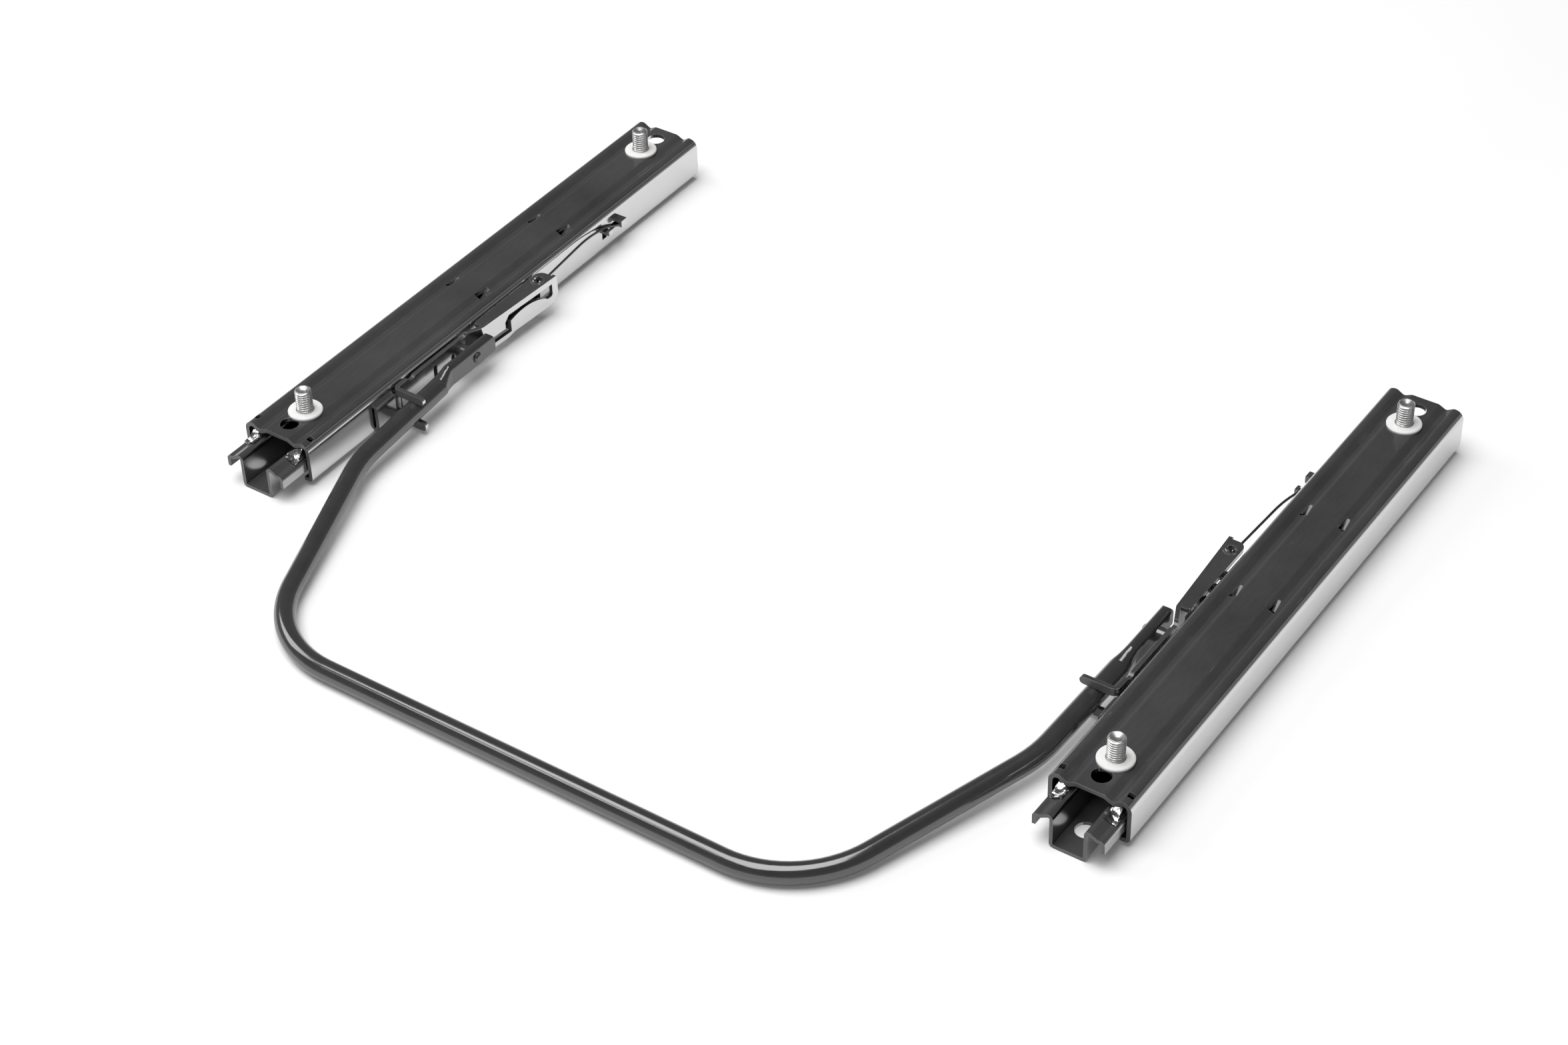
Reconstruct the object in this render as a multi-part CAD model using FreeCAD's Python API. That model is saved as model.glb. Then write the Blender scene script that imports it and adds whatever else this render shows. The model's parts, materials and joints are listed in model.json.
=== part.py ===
import FreeCAD, Part
import math
import os

# Seat slide rail set: two sliding rails joined by one release bar.
# Millimetres. X runs across the set, Y backwards along the rails, Z up.
# The origin is the middle of the four floor-bolt holes, on the underside of the floor rails.

# How far cutting solids run past a surface, and how far a tab's root is sunk into its sheet
cut_past = 1.0
root_sunk = 0.5

# The set as a whole
rail_spacing = 435.7
rail_length = 308.5
seat_set_back = 16.7

# Floor rail: a channel with outward flanges and hanging lips
floor_sheet = 1.6
channel_inset = 12.3
channel_corner_r = 0.8
wall_top_r = 2.3
flange_slope = 29.4
flange_flat = 3.3
flange_bend_r = 1.5
lip_corner_r = 2.0
floor_hole_r = 4.7
floor_hole_inset = 14.75

# Seat rail: a wide cap with rounded shoulders and inturned bottom flanges
seat_sheet = 2.0
seat_half = 19.5
seat_height = 23.55
seat_ride = 2.3
seat_flange = 5.0
seat_bottom_r = 2.6
shoulder_r = 4.4
shoulder_width = 5.2
shoulder_inner_r = 2.4
groove_inset = 8.8
groove_depth = 2.15
groove_r = 1.6
plateau_inset = 12.7
plateau_drop = 0.3
plateau_r = 2.4

# Balls and cages between the two rails
upper_ball_d = 5.2
upper_ball_gap = 0.25
upper_ball_headroom = 0.55
lower_ball_d = 4.4
lower_ball_gap = 0.15
lip_gap = 0.5
cage_sheet = 0.8
cage_width = 6.0
cage_length = 34.0
cage_wall_gap = 0.4
pocket_gap = 0.1
ball_pitch = 22.0
ball_sides = 8
front_cage_inset = 59.25
rear_cage_inset = 60.25

# Studs, washers and access holes, measured from the front end of the seat rail
stud_inset = 20.8
stud_pitch = 265.0
stud_r = 4.0
stud_neck_r = 4.2
stud_stand = 12.7
stud_chamfer = 0.7
stud_dish_r = 2.6
stud_dish_bottom_r = 1.04
stud_dish_depth = 1.0
stud_head_r = 6.0
stud_head_under_r = 4.4
stud_head_height = 2.6
stud_hole_gap = 0.15
washer_r = 8.25
washer_thickness = 1.4
washer_edge = 0.5
access_hole_r = 4.5
access_hole_inset = 9.4

# Punched stops in the top of the seat rail
punch_size = 3.0
punch_side_inset = 3.5
punch_inset = 5.5
punch_depth = 2.2
punch_bend = 1.2
lance_side_inset = 10.4
lance_width = 3.8
lance_tail = 1.6
lance_length = 8.6
lance_lead = 4.0
lance_root_drop = 1.5
lance_root_sheet = 1.6
lance_depth = 3.3
lance_tip_sheet = 0.7
stop_cut_depth = 3.0
tab_side_gap = 0.3
lance_places = (142.0, 207.6)

# Folded clips at the mouth of the seat rail
clip_sheet = 0.7
clip_rail_gap = 0.35
clip_reach = 6.2
clip_depth = 3.6
clip_inner_inset = 10.2
clip_outer_inset = 3.5
clip_curl = 1.0
clip_roof_gap = 0.2
clip_tent_height = 21.0
clip_tent_lead = 1.5

# Slide travel, in whole steps of the lock
lock_pitch = 10.0
forward_step_count = 7
back_step_count = 4

# Latch plate. Distances along Y are from the front end of the seat rail.
latch_sheet = 2.0
latch_wall_gap = 1.35
latch_bottom = 2.3
latch_top = 21.3
rock_axis_along = 51.8
rock_axis_height = 11.3
fork_along = 58.8
fork_reach = 16.4
fork_gap = 0.15
fork_tip_r = 1.9
tongue_half = 4.8
tongue_gap = 0.1
tongue_bend_r = 1.0
tongue_jog_start = 58.9
tongue_jog_end = 64.6
tongue_overlap = 6.0
s_bend_start = 111.0
s_bend_end = 120.5
s_bend_out = 4.1
latch_taper = 3.2
latch_bend_r = 3.0
latch_rear = 174.6
latch_rear_corner_r = 6.0
latch_top_corner_r = 1.0
step_start = 103.0
step_end = 118.0
step_height = 5.3
step_bend_r = 5.0
panel_start = 137.0
panel_slope = 5.0
panel_bottom = 6.5
panel_bend_r = 2.0
top_flange_gap = 1.1
top_flange_start = 120.5
top_flange_end = 172.8
top_flange_front_r = 1.5
top_flange_rear_r = 4.0
window_front = 135.5
window_rear = 170.5
window_neck = 4.0
window_top = 18.1
window_low_front = 14.0
window_low_middle = 15.8
window_low_rear = 11.4
window_ramp = 5.0
window_corner = 1.0
window_shoulder = 3.0
foot_slot_start = 126.0
foot_slot_low = 7.9
foot_slot_high = 11.5
slit_width = 2.6
slits = ((87.6, 9.4, 17.3), (100.9, 9.9, 15.6))
strip_drop = 0.8
edge_notch_r = 3.2
edge_notch_lift = 1.4
edge_notch_places = (70.9, 109.4)
spring_hole_r = 2.6
spring_hole_along = 165.7
spring_hole_in = 4.4
spring_rim_r = 3.5
spring_rim_height = 0.5

# Locking teeth and their slots in the floor rail's inner lip
tooth_count = 3
tooth_width = 4.4
front_tooth_along = 143.5
tooth_past_lip = 0.4
tooth_root_flare = 0.8
tooth_root_length = 1.5
tooth_corner_r = 0.8
slot_gap = 0.6
slot_roof = 1.7
tooth_window_front = 127.0
tooth_window_rear = 173.0
tooth_window_sill = 0.1
tooth_window_top = 17.5

# Loop pressed out of the seat rail's inner wall, in which the latch plate rocks
loop_half = 6.5
loop_stand = 2.85
loop_clear = 0.35
loop_slope = 1.6
loop_root = 1.6
loop_edge = 0.9
loop_bend_r = 2.0
loop_inner_r = 0.6

# Release bar, a bent tube with flattened ends
bar_r = 5.0
bar_wall = 1.2
bar_front_along = -98.7
bar_rise = 0.0455
bar_from_web = 11.5
bar_bend_one_along = 17.3
bar_bend_one_r = 60.0
bar_front_inset = 41.9
bar_bend_two_r = 52.0
bar_leg_lean = 0.041
flat_from = 79.5
flat_full = 87.5
bar_tip = 120.2
flat_thickness = 5.6
flat_height = 12.0
flat_tip_r = 4.0

# Rivet through the flattened end and the latch plate
rivet_along = 106.6
rivet_r = 1.8
rivet_gap = 0.05
rivet_head_r = 2.8
rivet_head_height = 1.5
rivet_edge = 0.9
collar_r = 3.6
rivet_tail = 0.6

# Return wire spring between the latch plate's flange and two hooks on the rail's wall
wire_r = 0.62
wire_bend_r = 1.6
wire_top_bend_r = 60.0
wire_low_bend_r = 50.0
wire_seat_gap = 0.3
wire_above_flange = 0.9
wire_under_flange = 0.4
wire_crest_lead = 19.0
wire_crest_rise = 1.7
wire_crest_out = 2.6
wire_turn_along = 228.0
wire_turn_height = 16.2
wire_tail = 13.0
wire_end_height = 9.8
shelf_lead = 1.0
shelf_width = 3.6
shelf_lip = 1.2
hook_set_back = 10.0
hook_low = 14.6
hook_lip = 2.2
hook_width = 4.5
hook_reach = 4.6
hook_sheet = 1.5
shelf_window = 3.8
hook_window_lead = 4.4
hook_window_low = 11.0

# Places worked out from the sizes above
rail_x = rail_spacing / 2
seat_front = seat_set_back - rail_length / 2
seat_rear = seat_front + rail_length
channel_half = seat_half - channel_inset
plateau_half = seat_half - plateau_inset
groove_half = seat_half - groove_inset
shoulder_flat_end = seat_half - shoulder_width
lip_half = seat_half - seat_sheet - lip_gap
seat_inner = seat_half - seat_sheet
seat_floor = seat_ride + seat_sheet
seat_ceiling = seat_height - seat_sheet
flange_top = seat_ceiling - upper_ball_d - 2 * upper_ball_gap - upper_ball_headroom
lip_bottom = seat_floor + lower_ball_d + 2 * lower_ball_gap
upper_ball_x = seat_inner - upper_ball_gap - upper_ball_d / 2
lower_ball_x = seat_inner - lower_ball_gap - lower_ball_d / 2
upper_ball_z = flange_top + upper_ball_gap + upper_ball_d / 2
lower_ball_z = seat_floor + lower_ball_gap + lower_ball_d / 2
plateau_top = seat_height - plateau_drop
latch_inner_x = seat_half + latch_wall_gap
fork_tip_x = -latch_inner_x - latch_sheet - fork_reach
side_reach = -fork_tip_x + cut_past
bar_bend_one_x = rail_x - latch_inner_x - latch_sheet - bar_from_web
bar_bend_two_x = bar_bend_one_x - bar_front_inset
wire_turn_y = seat_front + wire_turn_along
tooth_top = panel_bottom + latch_sheet
slot_top = flange_top - slot_roof
axis_y = seat_front + rock_axis_along


def vec(x, y, z):
    return FreeCAD.Vector(x, y, z)


def bend_edges(points, radii):
    """Straight runs through the points, joined by tangent arcs of the given radii."""
    edges = []
    start = points[0]
    for before, corner, after, radius in zip(points, points[1:], points[2:], radii):
        if radius <= 0:
            edges.append(Part.LineSegment(start, corner).toShape())
            start = corner
            continue
        back = (before - corner).normalize()
        ahead = (after - corner).normalize()
        half_angle = back.getAngle(ahead) / 2
        run = radius / math.tan(half_angle)
        arc_start = corner + back * run
        arc_end = corner + ahead * run
        middle = (back + ahead).normalize()
        arc_middle = corner + middle * (radius / math.sin(half_angle) - radius)
        if (arc_start - start).Length > 1e-6:
            edges.append(Part.LineSegment(start, arc_start).toShape())
        edges.append(Part.Arc(arc_start, arc_middle, arc_end).toShape())
        start = arc_end
    if (points[-1] - start).Length > 1e-6:
        edges.append(Part.LineSegment(start, points[-1]).toShape())
    return edges


def rounded_face(points, radii=None):
    """A flat face with the given corners, each sharp or rounded by its own radius."""
    first = (points[0] + points[-1]) * 0.5
    edges = bend_edges([first] + points + [first], radii or [0 for point in points])
    return Part.Face(Part.Wire(edges))


def offset_path(points, radii, shift):
    """The same bent path moved sideways by shift (to the left of its direction when positive)."""
    moved = []
    new_radii = []
    steps = [((b - a).normalize()) for a, b in zip(points, points[1:])]
    sides = [FreeCAD.Vector(-step.y, step.x, 0) for step in steps]
    moved.append(points[0] + sides[0] * shift)
    for index, corner in enumerate(points[1:-1]):
        one, two = sides[index], sides[index + 1]
        mitre = one + two
        mitre = mitre * (shift / (1 + one.dot(two)))
        moved.append(corner + mitre)
        turn = steps[index].x * steps[index + 1].y - steps[index].y * steps[index + 1].x
        radius = radii[index]
        if radius > 0:
            radius = radius - shift if turn > 0 else radius + shift
        new_radii.append(max(radius, 0))
    moved.append(points[-1] + sides[-1] * shift)
    return moved, new_radii


def sheet_face(pairs, radii, thickness):
    """A bent strip in the XY plane: the path and the same path moved left by the thickness."""
    path = [vec(a, b, 0) for a, b in pairs]
    other, other_radii = offset_path(path, radii, thickness)
    edges = bend_edges(path, radii)
    edges.append(Part.LineSegment(path[-1], other[-1]).toShape())
    edges += bend_edges(other[::-1], other_radii[::-1])
    edges.append(Part.LineSegment(other[0], path[0]).toShape())
    return Part.Face(Part.Wire(Part.__sortEdges__(edges)))


def stand_up(shape):
    """Turn a drawing in the XY plane into one in the XZ plane, seen from the front."""
    turned = shape.copy()
    turned.rotate(vec(0, 0, 0), vec(1, 0, 0), 90)
    return turned


def extrude_along_y(face, y_start, length):
    solid = stand_up(face).extrude(vec(0, length, 0))
    solid.translate(vec(0, y_start, 0))
    return solid


def side_prism(pairs, x_start, x_end, radii=None):
    """An outline given as (y, z) pairs, swept from one X to another."""
    points = [vec(x_start, y, z) for y, z in pairs]
    return rounded_face(points, radii).extrude(vec(x_end - x_start, 0, 0))


def front_prism(pairs, y_start, y_end, radii=None):
    """An outline given as (x, z) pairs, swept from one Y to another."""
    points = [vec(x, y_start, z) for x, z in pairs]
    return rounded_face(points, radii).extrude(vec(0, y_end - y_start, 0))


def flat_prism(pairs, z_start, z_end, radii=None):
    """An outline given as (x, y) pairs, raised from one Z to another."""
    points = [vec(x, y, z_start) for x, y in pairs]
    return rounded_face(points, radii).extrude(vec(0, 0, z_end - z_start))


def round_rod(path, radius):
    """A round rod along straight runs and tangent arcs: a cylinder or a bend for each, joined."""
    pieces = []
    for edge in path:
        start = edge.valueAt(edge.FirstParameter)
        disc = Part.Face(Part.Wire(Part.Circle(start, edge.tangentAt(edge.FirstParameter), radius).toShape()))
        if isinstance(edge.Curve, Part.Line):
            pieces.append(disc.extrude(edge.valueAt(edge.LastParameter) - start))
        else:
            turn = math.degrees(edge.Length / edge.Curve.Radius)
            pieces.append(disc.revolve(edge.Curve.Center, edge.Curve.Axis, turn))
    return pieces[0].fuse(pieces[1:])


def block(x_start, x_end, y_start, y_end, z_start, z_end):
    return Part.makeBox(x_end - x_start, y_end - y_start, z_end - z_start, vec(x_start, y_start, z_start))


def upright(radius, x, y, z_start, z_end):
    return Part.makeCylinder(radius, z_end - z_start, vec(x, y, z_start))


def lying(radius, x_start, x_end, y, z):
    return Part.makeCylinder(radius, x_end - x_start, vec(x_start, y, z), vec(1, 0, 0))


def mirrored(pairs):
    """A right-hand half path and its mirror image, in one run from left to right."""
    return [(-x, z) for x, z in pairs[::-1]] + list(pairs)


def floor_section():
    """The floor rail's section, its path on the upper face from lip to lip."""
    lip_x = lip_half
    flat_x = lip_half - flange_flat
    peak_z = flange_top + (flat_x - channel_half) * math.tan(math.radians(flange_slope))
    half = [(channel_half, floor_sheet), (channel_half, peak_z), (flat_x, flange_top),
            (lip_x, flange_top), (lip_x, lip_bottom)]
    radii = [channel_corner_r, wall_top_r, flange_bend_r, lip_corner_r]
    return sheet_face(mirrored(half), radii[::-1] + radii, -floor_sheet)


def seat_section():
    """The seat rail's section, its path on the outer face from flange to flange."""
    groove_z = seat_height - groove_depth
    half = [(plateau_half, plateau_top), (groove_half, groove_z), (shoulder_flat_end, seat_height),
            (seat_half, seat_height), (seat_half, seat_ride), (seat_half - seat_flange, seat_ride)]
    radii = [plateau_r, groove_r, shoulder_inner_r, shoulder_r, seat_bottom_r]
    return sheet_face(mirrored(half), radii[::-1] + radii, -seat_sheet)


def slot_places():
    """Middles of the lock slots along the floor rail: one under each tooth at each step of the slide."""
    first = seat_front + front_tooth_along - forward_step_count * lock_pitch
    count = forward_step_count + back_step_count + tooth_count
    return [first + index * lock_pitch for index in range(count)]


def floor_rail():
    rail = extrude_along_y(floor_section(), -rail_length / 2, rail_length)
    cuts = []
    for side in (-1, 1):
        hole_y = side * (rail_length / 2 - floor_hole_inset)
        cuts.append(upright(floor_hole_r, 0, hole_y, -cut_past, floor_sheet + cut_past))
    half_slot = tooth_width / 2 + slot_gap
    for place in slot_places():
        cuts.append(block(-lip_half - cut_past, -lip_half + floor_sheet + cut_past, place - half_slot,
                          place + half_slot, lip_bottom - cut_past, slot_top))
    return rail.cut(cuts)


def punched_stop(side):
    """The hole of a punched stop, and its tab bent down into the upper ball track."""
    x = side * (seat_half - punch_side_inset)
    front = seat_front + punch_inset - punch_size / 2
    half = punch_size / 2
    hole = block(x - half, x + half, front, front + punch_size, seat_ceiling - stop_cut_depth,
                 seat_height + cut_past)
    low = seat_ceiling - punch_depth
    pairs = [(front - punch_bend, seat_ceiling + root_sunk), (front + punch_bend, low),
             (front + 2 * punch_bend, low + root_sunk), (front + root_sunk, seat_ceiling + 2 * root_sunk)]
    return hole, side_prism(pairs, x - half + tab_side_gap, x + half - tab_side_gap)


def lanced_stop(side, along):
    """The tapering opening of a lanced stop beside a groove, and its tab, which slopes down from the rear."""
    x = side * (seat_half - lance_side_inset)
    front = seat_front + along - lance_length / 2
    rear = front + lance_length
    wide = lance_width / 2
    narrow = lance_tail / 2
    hole = flat_prism([(x - wide, front), (x + wide, front), (x + narrow, rear), (x - narrow, rear)],
                      seat_ceiling - stop_cut_depth, seat_height + cut_past)
    tip = front + lance_lead
    root_top = seat_height - lance_root_drop
    tip_top = root_top - lance_depth
    slope = side_prism([(rear, root_top), (tip, tip_top), (tip, tip_top - lance_tip_sheet),
                        (rear, root_top - lance_root_sheet)], x - wide, x + wide)
    return hole, slope.common(hole)


def rocking_loop():
    """The wall opening for the latch plate's tongue, and the strap pressed out over it."""
    wall = -seat_half
    out = wall - loop_stand
    low = rock_axis_height - tongue_half - loop_clear
    high = rock_axis_height + tongue_half + loop_clear
    sunk = wall + root_sunk
    way_through = wall + 3 * root_sunk
    outer = [(sunk, low - loop_slope - loop_root), (out, low - loop_edge),
             (out, high + loop_edge), (sunk, high + loop_slope + loop_root)]
    inner = [(way_through, low - loop_slope), (sunk, low - loop_slope), (out + latch_sheet, low),
             (out + latch_sheet, high), (sunk, high + loop_slope), (way_through, high + loop_slope)]
    front = axis_y - loop_half
    rear = axis_y + loop_half
    strap = front_prism(outer, front, rear, [0, loop_bend_r, loop_bend_r, 0])
    strap = strap.cut(front_prism(inner, front - cut_past, rear + cut_past,
                                  [0, 0, loop_inner_r, loop_inner_r, 0, 0]))
    wall_out = wall - root_sunk / 2
    wall_in = wall + seat_sheet + root_sunk
    hole = block(wall_out, wall_in, front, rear, low - loop_slope, high + loop_slope)
    way_in = block(wall_out, wall_in, axis_y, seat_front + tongue_jog_end + loop_slope,
                   low - root_sunk, high + root_sunk)
    return [hole, way_in], strap


def wire_hooks():
    """The shelf under the return wire, the hook over its tail, and the wall openings they leave."""
    wall = -seat_half
    out = wall - hook_reach
    half = hook_width / 2
    shelf_front = wire_turn_y - shelf_lead - shelf_width / 2
    shelf_rear = shelf_front + shelf_width
    hook_y = wire_turn_y + hook_set_back
    shelf_top = wire_turn_height - wire_r - 2 * wire_seat_gap - wire_turn_sag()
    shelf_low = shelf_top - hook_sheet
    shelf = block(out, wall + root_sunk, shelf_front, shelf_rear, shelf_low, shelf_top)
    shelf_end = block(out, out + hook_sheet, shelf_front, shelf_rear, shelf_low, shelf_top + shelf_lip)
    hook = block(out, wall + root_sunk, hook_y - half, hook_y + half, hook_low, hook_low + hook_sheet)
    hook_end = block(out, out + hook_sheet, hook_y - half, hook_y + half, hook_low - hook_lip,
                     hook_low + hook_sheet)
    wall_in = wall + seat_sheet + root_sunk
    cuts = [block(wall - root_sunk, wall_in, shelf_front, shelf_rear, shelf_low - shelf_window, shelf_low),
            block(wall - root_sunk, wall_in, hook_y - half - hook_window_lead, hook_y + half,
                  hook_window_low, hook_low)]
    return cuts, [shelf.fuse(shelf_end), hook.fuse(hook_end)]


def seat_rail():
    rail = extrude_along_y(seat_section(), seat_front, rail_length)
    low = seat_ceiling - stop_cut_depth
    high = seat_height + cut_past
    cuts = []
    tabs = []
    for y in (seat_front + access_hole_inset, seat_rear - access_hole_inset):
        cuts.append(upright(access_hole_r, 0, y, low, high))
    for y in stud_places():
        cuts.append(upright(stud_neck_r + stud_hole_gap, 0, y, low, high))
    for side in (-1, 1):
        stops = [punched_stop(side)] + [lanced_stop(side, along) for along in lance_places]
        for hole, tab in stops:
            cuts.append(hole)
            tabs.append(tab)
    holes, strap = rocking_loop()
    cuts += holes
    tabs.append(strap)
    holes, hooks = wire_hooks()
    cuts += holes
    tabs += hooks
    cuts.append(block(-seat_half - cut_past, -seat_inner + cut_past, seat_front + tooth_window_front,
                      seat_front + tooth_window_rear, seat_floor + tooth_window_sill, tooth_window_top))
    return rail.cut(cuts).fuse(tabs).removeSplitter()


def stud_places():
    return (seat_front + stud_inset, seat_front + stud_inset + stud_pitch)


def seat_stud(y):
    """A stud with a dished top. Its head lies under the roof, its neck fills the rail and the washer."""
    under = plateau_top - seat_sheet
    top = plateau_top + stud_stand
    neck_top = plateau_top + washer_thickness
    shank = upright(stud_r, 0, y, neck_top, top)
    rim = [edge for edge in shank.Edges if edge.BoundBox.ZMin > top - stud_chamfer]
    shank = shank.makeChamfer(stud_chamfer, rim)
    neck = upright(stud_neck_r, 0, y, under, neck_top)
    head_foot = vec(0, y, under - stud_head_height)
    head = Part.makeCone(stud_head_under_r, stud_head_r, stud_head_height, head_foot)
    dish = Part.makeCone(stud_dish_bottom_r, stud_dish_r, stud_dish_depth, vec(0, y, top - stud_dish_depth))
    return shank.fuse([neck, head]).cut(dish).removeSplitter()


def washer(y):
    top = plateau_top + washer_thickness
    ring = upright(washer_r, 0, y, plateau_top, top)
    rim = [edge for edge in ring.Edges if edge.Closed and edge.BoundBox.ZMin > top - washer_edge]
    ring = ring.makeChamfer(washer_edge, rim)
    return ring.cut(upright(stud_neck_r + stud_hole_gap, 0, y, plateau_top - cut_past, top + cut_past))


def mouth_clip(side):
    """A folded clip in the mouth of the ball track, lying over the floor rail's flange."""
    flat_x = lip_half - flange_flat
    inner = seat_half - clip_inner_inset
    outer = seat_half - clip_outer_inset
    low = flange_top + clip_rail_gap
    rise = (flat_x - inner - clip_curl) * math.tan(math.radians(flange_slope))
    inner_z = low + clip_roof_gap / 2 + rise
    path = [(inner, inner_z), (inner + clip_curl, inner_z), (flat_x, low), (outer, low)]
    front = seat_front - clip_reach
    rear = seat_front + clip_depth
    clip = extrude_along_y(sheet_face(path, [0, 0], clip_sheet), front, rear - front)
    roof = seat_height - groove_depth - seat_sheet - clip_roof_gap
    tent_x = inner + clip_curl
    tent = front_prism([(tent_x, inner_z + clip_sheet / 2), (tent_x, roof), (groove_half + root_sunk, roof),
                        (shoulder_flat_end, clip_tent_height), (outer - clip_curl, clip_tent_height),
                        (outer - root_sunk, low + clip_sheet / 2), (flat_x, low + clip_sheet / 2)],
                       front, rear)
    slant = side_prism([(front + clip_tent_lead, low), (rear - clip_curl, clip_tent_height + root_sunk),
                        (rear, clip_tent_height + root_sunk), (rear, low)], 0, seat_half)
    clip = clip.fuse(tent.common(slant)).removeSplitter()
    if side < 0:
        clip = clip.mirror(vec(0, 0, 0), vec(1, 0, 0))
    return clip


def cage_middles():
    return (seat_front + front_cage_inset, seat_rear - rear_cage_inset)


def cage(side, middle, ball_x, ball_z, ball_d):
    """A strip that spaces two balls; its pockets are open towards the rail's wall."""
    outer = seat_inner - cage_wall_gap
    low = ball_z - cage_sheet / 2
    high = ball_z + cage_sheet / 2
    strip = block(outer - cage_width, outer, middle - cage_length / 2, middle + cage_length / 2, low, high)
    half = ball_d / 2 + pocket_gap
    strip = strip.cut([block(ball_x - half, outer + cut_past, y - half, y + half, low - cut_past,
                             high + cut_past) for y in ball_places(middle)])
    if side < 0:
        strip = strip.mirror(vec(0, 0, 0), vec(1, 0, 0))
    return strip


def ball_places(middle):
    return (middle - ball_pitch / 2, middle + ball_pitch / 2)


def ball(x, y, z, diameter):
    """A ball with flat facets, whose corners lie on the true sphere."""
    step = 2 * math.pi / ball_sides
    turns = [(place + 0.5) * step for place in range(ball_sides)]
    rings = []
    for tilt in turns[:ball_sides // 2]:
        ring_r = math.sin(tilt) * diameter / 2
        height = z - math.cos(tilt) * diameter / 2
        rings.append([vec(x + ring_r * math.cos(turn), y + ring_r * math.sin(turn), height)
                      for turn in turns])
    outlines = [rings[0], rings[-1]]
    for low, high in zip(rings, rings[1:]):
        outlines += [[low[place - 1], low[place], high[place], high[place - 1]]
                     for place in range(ball_sides)]
    facets = [Part.Face(Part.makePolygon(outline + outline[:1])) for outline in outlines]
    return Part.Solid(Part.Shell(facets))


def balls(x, z, diameter):
    """All the balls of one size in one rail."""
    return Part.makeCompound([ball(side * x, y, z, diameter) for middle in cage_middles()
                              for y in ball_places(middle) for side in (-1, 1)])


def plate_path():
    """The latch plate seen from above, its rail-side face, from the fork to the rear end."""
    front = seat_front + fork_along
    inner = -latch_inner_x
    out = -latch_inner_x - s_bend_out
    return [(fork_tip_x, front), (inner, front), (inner, seat_front + s_bend_start),
            (out, seat_front + s_bend_end), (out - latch_taper, seat_front + latch_rear)]


def plate_sheet():
    """The folded sheet from fork to rear end, at its full height."""
    face = sheet_face(plate_path(), [latch_bend_r, latch_bend_r, latch_bend_r], latch_sheet)
    return face.extrude(vec(0, 0, latch_top - latch_bottom)).translated(vec(0, 0, latch_bottom))


def plate_side_outline():
    """The plate's outline seen from the side; its window and slits are cut later."""
    front = seat_front + fork_along - cut_past
    rear = seat_front + latch_rear
    pairs = [(front, latch_bottom), (seat_front + step_start, latch_bottom),
             (seat_front + step_end, step_height), (seat_front + panel_start, step_height),
             (seat_front + panel_start + panel_slope, panel_bottom),
             (rear, panel_bottom), (rear, latch_top), (front, latch_top)]
    return side_prism(pairs, -side_reach, 0, [0, step_bend_r, step_bend_r, panel_bend_r, panel_bend_r,
                                              latch_rear_corner_r, latch_top_corner_r, 0])


def strip_cuts():
    """What lowers the front web's top edge between two round notches."""
    notches = [lying(edge_notch_r, -side_reach, 0, seat_front + along, latch_top + edge_notch_lift)
               for along in edge_notch_places]
    start, end = [seat_front + along for along in edge_notch_places]
    return notches + [block(-side_reach, 0, start, end, latch_top - strip_drop, latch_top + cut_past)]


def fork_opening():
    """The gap between the fork's two tabs, in which the release bar lies."""
    front = seat_front + fork_along
    low = bar_height_at(fork_along) - bar_r - fork_gap
    high = bar_height_at(fork_along) + bar_r + fork_gap
    return block(-side_reach, 0, front - cut_past, front + latch_bend_r + root_sunk, low, high)


def fork_tips():
    """The rounded outline of the two tabs seen from the front, and all that lies behind them."""
    front = seat_front + fork_along
    behind = front + latch_sheet
    low = bar_height_at(fork_along) - bar_r - fork_gap
    high = bar_height_at(fork_along) + bar_r + fork_gap
    radii = [fork_tip_r, 0, 0, fork_tip_r]
    tabs = [front_prism([(fork_tip_x, bottom), (0, bottom), (0, top), (fork_tip_x, top)],
                        front - cut_past, behind, radii)
            for bottom, top in ((high, latch_top), (latch_bottom, low))]
    middle = block(-latch_inner_x - latch_sheet - latch_bend_r, 0, front - cut_past, behind, low, high)
    web = block(-side_reach, 0, behind, seat_rear, 0, latch_top + cut_past)
    return tabs[0].fuse([tabs[1], middle, web])


def tongue():
    """The narrow strip ahead of the web that passes behind the loop and rocks in it."""
    plane = -seat_half - loop_stand + seat_sheet + tongue_gap + latch_sheet
    start = axis_y - tongue_half
    jog_end = seat_front + tongue_jog_end
    rear = jog_end + tongue_overlap
    path = [(plane, start), (plane, seat_front + tongue_jog_start), (-latch_inner_x, jog_end),
            (-latch_inner_x, rear)]
    low = rock_axis_height - tongue_half
    high = rock_axis_height + tongue_half
    strip = sheet_face(path, [tongue_bend_r, tongue_bend_r], latch_sheet).extrude(vec(0, 0, high - low))
    nose_r = tongue_half - root_sunk / 10
    nose = side_prism([(start, low), (rear + cut_past, low), (rear + cut_past, high), (start, high)],
                      -side_reach, 0, [nose_r, 0, 0, nose_r])
    return strip.translated(vec(0, 0, low)).common(nose)


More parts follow.
